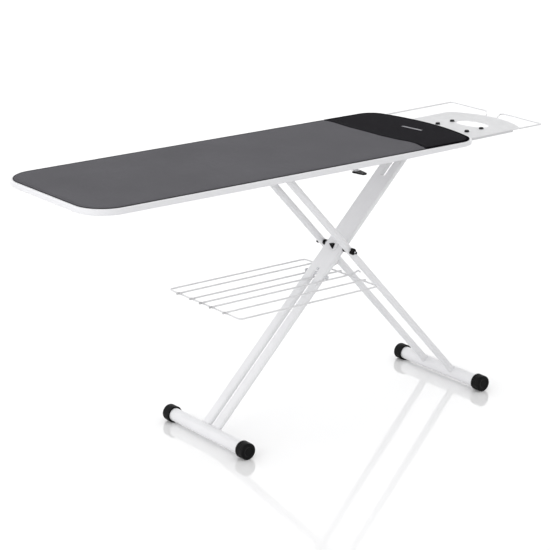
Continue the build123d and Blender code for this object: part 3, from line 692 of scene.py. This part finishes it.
# ---------------------------------------------------------------- felt pad, seen through the deck's vents
VENT_PITCH, VENT_COLUMNS, VENT_ROWS = 46 * MM, 25, 8
VENT_FIRST_REACH, VENT_FIRST_Y = 103 * MM, -161 * MM   # from the square end, and from the middle line
VENT_BULGE, VENT_BULGE_RADIUS = 0.62 * MM, 13.2 * MM
vents = np.array([(start_x + VENT_FIRST_REACH + column * VENT_PITCH, VENT_FIRST_Y + row * VENT_PITCH)
                  for column in range(VENT_COLUMNS) for row in range(VENT_ROWS)])


def pad_underside(x, y):
    """The felt bulges a little into each vent and is fuzzy elsewhere."""
    reach = np.sqrt(((vents - (x, y)) ** 2).sum(1).min())
    bulge = max(0.0, 1 - (reach / VENT_BULGE_RADIUS) ** 2)
    return -VENT_BULGE * bulge + abs(slow_wave(x, y, 0.12 * MM, 0.012, 2.0))


def pad_ring(inset, height):
    """A ring round the pad, inset in mm from its edge. The rings of the flat faces don't wave."""
    fuzz = 0 if inset > 2 else 1
    return [pad_mesh.verts.new((x, y, height + slow_wave(x, y, 0.15 * MM, 0.01, inset) * fuzz))
            for x, y in outline(pad_inset + inset * MM)]


pad_mesh = bmesh.new()
pad_top = cover_base - 0.05 * MM
pad_inset = half_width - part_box("board_pad")[1].y + 0.1 * MM
pad_rings = [pad_ring(inset, height) for inset, height in (
    (2.5, pad_base + 0.02 * MM), (0.8, pad_base + 0.8 * MM), (0.0, pad_base + 2 * MM),
    (0.0, pad_top - 2 * MM), (0.8, pad_top - 0.8 * MM), (2.5, pad_top))]
skin(pad_mesh, pad_rings)
pad_low, pad_high = pad_rings[0], pad_rings[-1]
low_level, high_level = pad_low[0].co.z, pad_high[0].co.z
close_ring(pad_mesh, pad_low, np.array([v.co[:2] for v in pad_low]), 5.2 * MM,
           lambda x, y: low_level + pad_underside(x, y), turned_down=True)
close_ring(pad_mesh, pad_high, np.array([v.co[:2] for v in pad_high]), 20 * MM, lambda x, y: high_level)
pad = dress(as_mesh(pad_mesh, "felt_pad"), "felt_pad", felt, "tabletop", 60)
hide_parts("board_pad")

# ---------------------------------------------------------------- foot caps
FLOOR_LEVEL = 0.0
FOOT_BAR_RADIUS = 20 * MM
CAP_GROOVES = (8.2, 15.2, 22.2)                        # where each begins, in mm from the outer face
KNURL_RIDGES, KNURL_DEPTH = 48, 0.45 * MM


def cap_profile():
    """(distance in from the outer face, radius) of a foot cap, from the middle of its end to its mouth."""
    dished_end = [(1.8, 0), (1.8, 12.5), (1.0, 13.4), (0.5, 14.2), (0.2, 15.6), (0.0, 19.0), (0.3, 21.6),
                  (1.1, 23.4), (2.4, 24.5), (4.2, 25.1), (6.0, 25.2)]
    ribs = []
    for groove in CAP_GROOVES:
        ribs += [(groove - 0.5, 25.2), (groove, 24.4), (groove + 1.6, 24.4), (groove + 2.1, 25.2)]
    mouth = [(26.2, 25.2), (26.7, 24.8), (27.3, 24.9), (27.9, 25.4), (31.6, 25.4), (32.7, 24.9),
             (33.0, 24.0), (33.0, 21.4), (32.4, 20.5), (29.0, 20.3), (24.0, 20.3)]
    return in_mm(dished_end + ribs + mouth)


def knurl(angle, along, radius):
    """Fine lengthwise ridges on the bands between the grooves."""
    if 9.0 * MM < along < 22.5 * MM and radius > 24.9 * MM:
        return radius - KNURL_DEPTH * (0.5 - 0.5 * math.cos(KNURL_RIDGES * angle))
    return radius


for leg, foot in (("wide", "foot_caps_wide"), ("thin", "foot_caps_thin")):
    low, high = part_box(foot)
    caps = Soup()
    for side, outer in ((-1, low.y), (1, high.y)):
        centre = ((low.x + high.x) / 2, outer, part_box(f"foot_bar_{leg}")[0].z + FOOT_BAR_RADIUS)
        points, faces = turned(cap_profile(), centre, (0, -side, 0), 192, knurl)
        caps.take([(p[0], p[1], max(p[2], FLOOR_LEVEL)) for p in points], faces)
    made = caps.piece(f"foot_caps_{leg}_ribbed", black, f"{leg}_leg", "black_plastic", 28)
    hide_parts(foot)

# ---------------------------------------------------------------- axle caps, three-lobed, with domed nuts
axle_low, axle_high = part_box("axle_caps")
axle_x = (axle_low.x + axle_high.x) / 2
axle_z = (axle_low.z + axle_high.z) / 2
thin_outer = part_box("thin_leg_tube_far")[1].y
NUT_PROFILE = ((2.4, 0.0), (2.4, 3.0), (1.2, 3.0), (0.3, 2.5), (-0.2, 1.3), (-0.35, 0.0))


def lobed(angle, along, radius):
    """Three rounded lobes with flats between them."""
    turn = 3 * (angle - math.pi / 2)
    return radius * (0.77 + 0.23 * math.cos(turn)) if radius > 5.2 * MM else radius


def knob_profile(length):
    """(distance in from the outer face, radius) of an axle cap of a length in mm, both in mm."""
    return [(2.6, 0), (2.6, 3.2), (1.6, 3.9), (1.4, 5.0), (0.2, 5.8), (0.0, 7.5), (0.5, 9.4), (1.6, 10.6),
            (3.2, 11.0), (length - 2.0, 11.0), (length - 0.8, 10.4), (length, 9.6), (length, 5.1)]


knobs, nuts = Soup(), Soup()
for side, outer, length in ((-1, axle_low.y, -thin_outer - axle_low.y),
                            (1, axle_high.y, axle_high.y - thin_outer)):
    centre, inwards = (axle_x, outer, axle_z), (0, -side, 0)
    knobs.take(*turned(in_mm(knob_profile(length / MM)), centre, inwards, 72, lobed))
    nuts.take(*turned(in_mm(NUT_PROFILE), centre, inwards, 24))
made = knobs.piece("axle_caps_lobed", black, "thin_leg", "black_plastic", 30)
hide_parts("axle_caps")
nuts.piece("axle_dome_nuts", zinc, "thin_leg", "zinc_steel", 30)

# ---------------------------------------------------------------- welds
WIDE_TUBE_OFFSET, WIDE_TUBE_HALF_FLAT, WIDE_TUBE_RADIUS = 24 * MM, 10.5 * MM, 7.5 * MM
THIN_TUBE_OFFSET, THIN_TUBE_RADIUS = 63.5 * MM, 11 * MM
wide_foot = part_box("foot_bar_wide")[0] + Vector((FOOT_BAR_RADIUS, 0, FOOT_BAR_RADIUS))
thin_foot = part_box("foot_bar_thin")[0] + Vector((FOOT_BAR_RADIUS, 0, FOOT_BAR_RADIUS))
wide_foot.y = thin_foot.y = 0
axle = Vector((axle_x, 0, axle_z))
wide_dir, thin_dir = (axle - wide_foot).normalized(), (axle - thin_foot).normalized()


def leg_point(foot, direction, distance, across, depth):
    """A point beside a leg's middle line: up the leg, across it, and out from its face."""
    normal = Vector((-direction.z, 0, direction.x))
    return foot + direction * distance + Vector((0, across, 0)) + normal * depth


def foot_weld(soup, foot, direction, middle, half_flat, radius, seed):
    """A rippled bead where a tube, which may be flattened, meets its round foot bar."""
    steps = 96
    path, ripple = [], []
    for k in range(steps):
        angle = 2 * math.pi * k / steps
        across, depth = radius * math.cos(angle), radius * math.sin(angle)
        distance = math.sqrt(FOOT_BAR_RADIUS ** 2 - depth ** 2) + 0.2 * MM
        path.append(leg_point(foot, direction, distance,
                              middle + across + math.copysign(half_flat, across), depth))
        lump = noise.noise(Vector((k * 0.4, seed, 0)))
        ripple.append(1.9 * MM * (1 + 0.10 * math.sin(k * 1.9 + seed) + 0.12 * lump))
    soup.take(*swept(path, ripple, 8, closed=True))


wide_welds, thin_welds = Soup(), Soup()
for side in (-1, 1):
    foot_weld(wide_welds, wide_foot, wide_dir, side * WIDE_TUBE_OFFSET, WIDE_TUBE_HALF_FLAT,
              WIDE_TUBE_RADIUS, side)
    foot_weld(thin_welds, thin_foot, thin_dir, side * THIN_TUBE_OFFSET, 0.0, THIN_TUBE_RADIUS, side + 5)
wide_welds.piece("foot_welds_wide", weld_white, "wide_leg", "white_steel", 60)
thin_welds.piece("foot_welds_thin", weld_white, "thin_leg", "white_steel", 60)


def blob(soup, centre, size, seed):
    """A small lumpy weld spot."""
    rows, columns = 7, 12
    points = []
    for r in range(1, rows - 1):
        polar = math.pi * r / (rows - 1)
        for c in range(columns):
            turn = 2 * math.pi * c / columns
            lump = noise.noise(Vector((math.cos(turn) * 1.5, math.sin(turn) * 1.5, polar + seed)))
            bulge = 1 + 0.22 * lump
            points.append((centre[0] + size[0] * math.sin(polar) * math.cos(turn) * bulge,
                           centre[1] + size[1] * math.sin(polar) * math.sin(turn) * bulge,
                           centre[2] + size[2] * math.cos(polar) * bulge))
    faces = grid_faces(rows - 2, columns)
    top, bottom = len(points), len(points) + 1
    points += [(centre[0], centre[1], centre[2] + size[2]), (centre[0], centre[1], centre[2] - size[2])]
    last = (rows - 3) * columns
    for c in range(columns):
        faces.append((top, (c + 1) % columns, c))
        faces.append((bottom, last + c, last + (c + 1) % columns))
    soup.take(points, [tuple(reversed(f)) for f in faces])


WIRE_RADIUS = 2.6 * MM
SPOT_SIZE = (3.0 * MM, 3.0 * MM, 1.7 * MM)
rack_low, rack_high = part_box("rack_rim")
rack_welds = Soup()
for number in range(2, 7):
    low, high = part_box(f"rack_wire_{number}")
    for k, x in enumerate((rack_low.x + WIRE_RADIUS, rack_high.x - WIRE_RADIUS)):
        spot = (x, (low.y + high.y) / 2, rack_high.z - 0.1 * MM)
        blob(rack_welds, spot, SPOT_SIZE, number + 9 * k)
rack_welds.piece("rack_spot_welds", wire_white, "rack", "white_wire", 60)


# ---------------------------------------------------------------- rivets, bolts and small fittings
def rivet(soup, centre, radius, height):
    """A domed rivet head with a small flange, on an underside."""
    stem = [(-0.4 * MM, 0), (-0.4 * MM, radius)]
    dome = [(h * height, r * radius)
            for h, r in ((0, 1), (0.25, 0.98), (0.4, 0.82), (0.75, 0.58), (1, 0.22), (1.02, 0))]
    points, faces = turned(stem + dome, centre, (0, 0, -1), 20)
    soup.take(points, [tuple(reversed(f)) for f in faces])


BRACE_REACHES = (230.0, 458.7, 777.7, 1280.8)          # mm from the square end
RIVET_ROWS = (-190, -110, 110, 190)                    # mm from the middle line
RIVET_SHIFT = 12.6 * MM                                # to either side of a brace's middle
deck_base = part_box("board_deck")[0].z
rivets = Soup()
for reach in BRACE_REACHES:
    for y in RIVET_ROWS:
        for shift in (-RIVET_SHIFT, RIVET_SHIFT):
            place = (start_x + reach * MM + shift, y * MM, deck_base - 1.0 * MM)
            rivet(rivets, place, radius=3.2 * MM, height=1.5 * MM)
rivets.piece("brace_rivets", deck_white, "tabletop", "white_steel", 40)

RAIL_BOLT_INSET, RAIL_BOLT_ACROSS = 14 * MM, 9 * MM
BRACKET_BOLT_INSET, BRACKET_BOLT_ACROSS = 10 * MM, 34 * MM
bolts = Soup()
rail_low, rail_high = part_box("slide_rail")
for x in (rail_low.x + RAIL_BOLT_INSET, rail_high.x - RAIL_BOLT_INSET):
    for y in (-RAIL_BOLT_ACROSS, RAIL_BOLT_ACROSS):
        rivet(bolts, (x, y, rail_high.z - 2.0 * MM), radius=4.0 * MM, height=2.0 * MM)
bracket_low, bracket_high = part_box("hinge_bracket")
for x in (bracket_low.x + BRACKET_BOLT_INSET, bracket_high.x - BRACKET_BOLT_INSET):
    for y in (-BRACKET_BOLT_ACROSS, BRACKET_BOLT_ACROSS):
        rivet(bolts, (x, y, bracket_high.z - 2.5 * MM), radius=4.5 * MM, height=1.8 * MM)
bolts.piece("underside_bolts", zinc, "tabletop", "zinc_steel", 40)

# a ring on the shield of the wide leg
SHIELD_FACE = 14.5 * MM                                # its outer face, out from the axle's middle
SHIELD_SETBACK = 8 * MM                                # its middle, down the leg from the axle
leg_normal = Vector((-wide_dir.z, 0, wide_dir.x))
shield_middle = axle + leg_normal * SHIELD_FACE - wide_dir * SHIELD_SETBACK
RING_PROFILE = ((-0.3, 4.2), (0.3, 4.2), (0.5, 3.7), (0.2, 3.2), (-0.3, 2.9))
points, faces = turned(in_mm(RING_PROFILE), shield_middle, leg_normal, 40)
piece("shield_ring", points, faces, black, "wide_leg", "black_plastic", 30)

# the shield itself, a rounded triangle with a bevelled face
SHIELD_CORNERS = ((-17.2, -3.4), (9.1, 9.6), (3.5, -11.0))   # mm across and down the leg
SHIELD_ROUNDING = 4.0 * MM
SHIELD_THICKNESS = 4.5                                 # mm
SHIELD_LAYERS = ((0.02, 1.0), (3.3, 1.0), (4.0, 0.965), (4.4, 0.88), (SHIELD_THICKNESS, 0.60))
shield_across, shield_down = Vector((0, -1, 0)), -wide_dir
corners = np.array(SHIELD_CORNERS) * MM
rounded = []
for k in range(3):
    corner, before, after = corners[k], corners[k - 1], corners[(k + 1) % 3]
    first = corner + (before - corner) / np.linalg.norm(before - corner) * SHIELD_ROUNDING
    last = corner + (after - corner) / np.linalg.norm(after - corner) * SHIELD_ROUNDING
    for t in np.linspace(0, 1, 9):
        rounded.append(first * (1 - t) ** 2 + corner * 2 * t * (1 - t) + last * t * t)
count = len(rounded)
points = []
for height, scale in SHIELD_LAYERS:
    level = shield_middle + leg_normal * (height - SHIELD_THICKNESS) * MM
    for u, v in np.array(rounded) * scale:
        points.append(level + shield_across * u + shield_down * v)
faces = grid_faces(len(SHIELD_LAYERS), count)
faces.append(tuple(range(count)))
faces.append(tuple(range(len(points) - 1, len(points) - count - 1, -1)))
shield = piece("shield_cover", points, faces, black, "wide_leg", "black_plastic", 30)
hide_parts("axle_shield")

# rolled lip round the hand hole of the iron rest; reaches count from the square end of the cover
REST_TILT, REST_REACH, REST_DROP = math.radians(0.8), 1489.5 * MM, 16 * MM
HOLE_REACH, HOLE_ACROSS, HOLE_TURN = 1513 * MM, -35 * MM, math.radians(8)
HOLE_HALF_WIDTH, HOLE_HALF_LENGTH = 31 * MM, 59 * MM
LIP_RADIUS, LIP_DROP = 0.95 * MM, 0.75 * MM
rest_axis = Vector((math.cos(REST_TILT), 0, math.sin(REST_TILT)))
rest_up = Vector((-rest_axis.z, 0, rest_axis.x))
rest_origin = Vector((start_x + REST_REACH, 0, nose_top - REST_DROP))


def rest_point(reach, across, height=0.0):
    """A point on the iron rest, or at a height above it."""
    return rest_origin + rest_axis * (reach - REST_REACH) + Vector((0, across, 0)) + rest_up * height


hole = []
for k in range(96):
    angle = 2 * math.pi * k / 96
    u, v = HOLE_HALF_WIDTH * math.cos(angle), HOLE_HALF_LENGTH * math.sin(angle)
    hole.append(rest_point(HOLE_REACH + u * math.cos(HOLE_TURN) - v * math.sin(HOLE_TURN),
                           HOLE_ACROSS + u * math.sin(HOLE_TURN) + v * math.cos(HOLE_TURN), -LIP_DROP))
piece("handhold_lip", *swept(hole, LIP_RADIUS, 10, closed=True), steel_white, "tabletop", "white_steel", 60)

# silicone bumpers get a moulded collar
BUMPER_REACH, BUMPER_ACROSS = 1459.5 * MM, -34 * MM    # the middle of the four
BUMPER_SHIFTS = (30 * MM, 66 * MM)                     # from that middle to each, along and across
COLLAR_RADIUS = 7.1 * MM
collars = Soup()
for reach in (BUMPER_REACH - BUMPER_SHIFTS[0], BUMPER_REACH + BUMPER_SHIFTS[0]):
    for across in (BUMPER_ACROSS - BUMPER_SHIFTS[1], BUMPER_ACROSS + BUMPER_SHIFTS[1]):
        foot = rest_point(reach, across, 0.5 * MM)
        path = [foot + rest_axis * (COLLAR_RADIUS * math.cos(a)) + Vector((0, COLLAR_RADIUS * math.sin(a), 0))
                for a in np.linspace(0, 2 * math.pi, 36, endpoint=False)]
        collars.take(*swept(path, 0.8 * MM, 8, closed=True))
collars.piece("bumper_collars", silicone, "tabletop", "bumper_rubber", 60)

# grip ridges under the release lever
grip_low, grip_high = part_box("lever_grip")
middle = (grip_low.x + grip_high.x) / 2
ridges = Soup()
for k in range(4):
    y = grip_low.y + (11 + 6 * k) * MM
    half = (7.5 + 0.95 * k) * MM
    ridges.take(*swept([(middle + half * t, y, grip_low.z + 0.25 * MM) for t in np.linspace(-1, 1, 9)],
                       [0.4 * MM] + [1.0 * MM] * 7 + [0.4 * MM], 8))
ridges.piece("grip_ridges", black, "release_lever", "black_plastic", 60)

# return spring of the lever, built as one fixed coil that keeps its length when the lever moves
COIL_WIRE, COIL_TURNS = 0.7 * MM, 6                    # radius of the wire
FLAT_SHARE = 0.08                                      # of the coil at each end that lies flat
coil_low, coil_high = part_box("lever_spring")
coil_radius = (coil_high.x - coil_low.x) / 2 - COIL_WIRE
coil_climb = coil_high.z - coil_low.z - 2 * COIL_WIRE
coil_middle = (coil_low + coil_high) / 2
coil_path = []
for t in np.linspace(0, 1, COIL_TURNS * 20 + 1):
    angle = 2 * math.pi * COIL_TURNS * t
    rise = min(max((t - FLAT_SHARE) / (1 - 2 * FLAT_SHARE), 0.0), 1.0)
    coil_path.append((coil_middle.x + coil_radius * math.cos(angle),
                      coil_middle.y + coil_radius * math.sin(angle),
                      coil_low.z + COIL_WIRE + coil_climb * rise))
coil = piece("lever_return_coil", *swept(coil_path, COIL_WIRE, 10), zinc, "tabletop", "zinc_steel", 60)
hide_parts("lever_spring")
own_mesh(coil)

# ---------------------------------------------------------------- floor and light
floor_mesh = bpy.data.meshes.new("floor")
floor_mesh.from_pydata([(-30, -30, 0), (30, -30, 0), (30, 30, 0), (-30, 30, 0)], [], [(0, 1, 2, 3)])
floor = bpy.data.objects.new("floor", floor_mesh)
bpy.context.scene.collection.objects.link(floor)
floor_look = Look("pale_floor", (0.93, 0.93, 0.932), 0.07, IOR=1.85)
floor_look.rough(floor_look.noise(2.0, 2.0), 0.05, 0.09)
floor_mesh.materials.append(floor_look.material)

# a white sky, weaker overhead and on the viewer's side
world = bpy.data.worlds.new("studio")
bpy.context.scene.world = world
world.use_nodes = True
sky = world.node_tree
backdrop = sky.nodes["Background"]
direction = sky.nodes.new("ShaderNodeTexCoord").outputs["Generated"]
split = sky.nodes.new("ShaderNodeSeparateXYZ")
sky.links.new(direction, split.inputs[0])


def sky_ramp(value, start, end, from_strength, to_strength, interpolation="LINEAR"):
    """A strength that changes as the direction's value goes from start to end."""
    ramp = sky.nodes.new("ShaderNodeMapRange")
    ramp.interpolation_type = interpolation
    for socket, setting in (("From Min", start), ("From Max", end),
                            ("To Min", from_strength), ("To Max", to_strength)):
        ramp.inputs[socket].default_value = setting
    sky.links.new(value, ramp.inputs["Value"])
    return ramp.outputs["Result"]


both = sky.nodes.new("ShaderNodeMath")
both.operation = "MULTIPLY"
sky.links.new(sky_ramp(split.outputs["Z"], 0.25, 0.8, 1.5, 0.8, "SMOOTHSTEP"), both.inputs[0])
sky.links.new(sky_ramp(split.outputs["Y"], -1.0, 0.2, 0.78, 1.0), both.inputs[1])
sky.links.new(both.outputs["Value"], backdrop.inputs["Strength"])
backdrop.inputs["Color"].default_value = (1.0, 1.0, 1.0, 1)


def soft_light(name, place, target, size, power):
    """A square area light of a size in metres, aimed at a target."""
    data = bpy.data.lights.new(name, "AREA")
    data.shape = "RECTANGLE"
    data.size = data.size_y = size
    data.energy = power
    obj = bpy.data.objects.new(name, data)
    bpy.context.scene.collection.objects.link(obj)
    obj.location = place
    obj.rotation_euler = (Vector(target) - Vector(place)).to_track_quat("-Z", "Y").to_euler()


soft_light("key", (-4.2, -0.9, 1.9), target=(0, 0, 0.4), size=2.4, power=33)
soft_light("top", (-0.4, 0.4, 3.8), target=(0, 0, 0.4), size=3.5, power=22)
bpy.context.scene.view_settings.view_transform = "Standard"
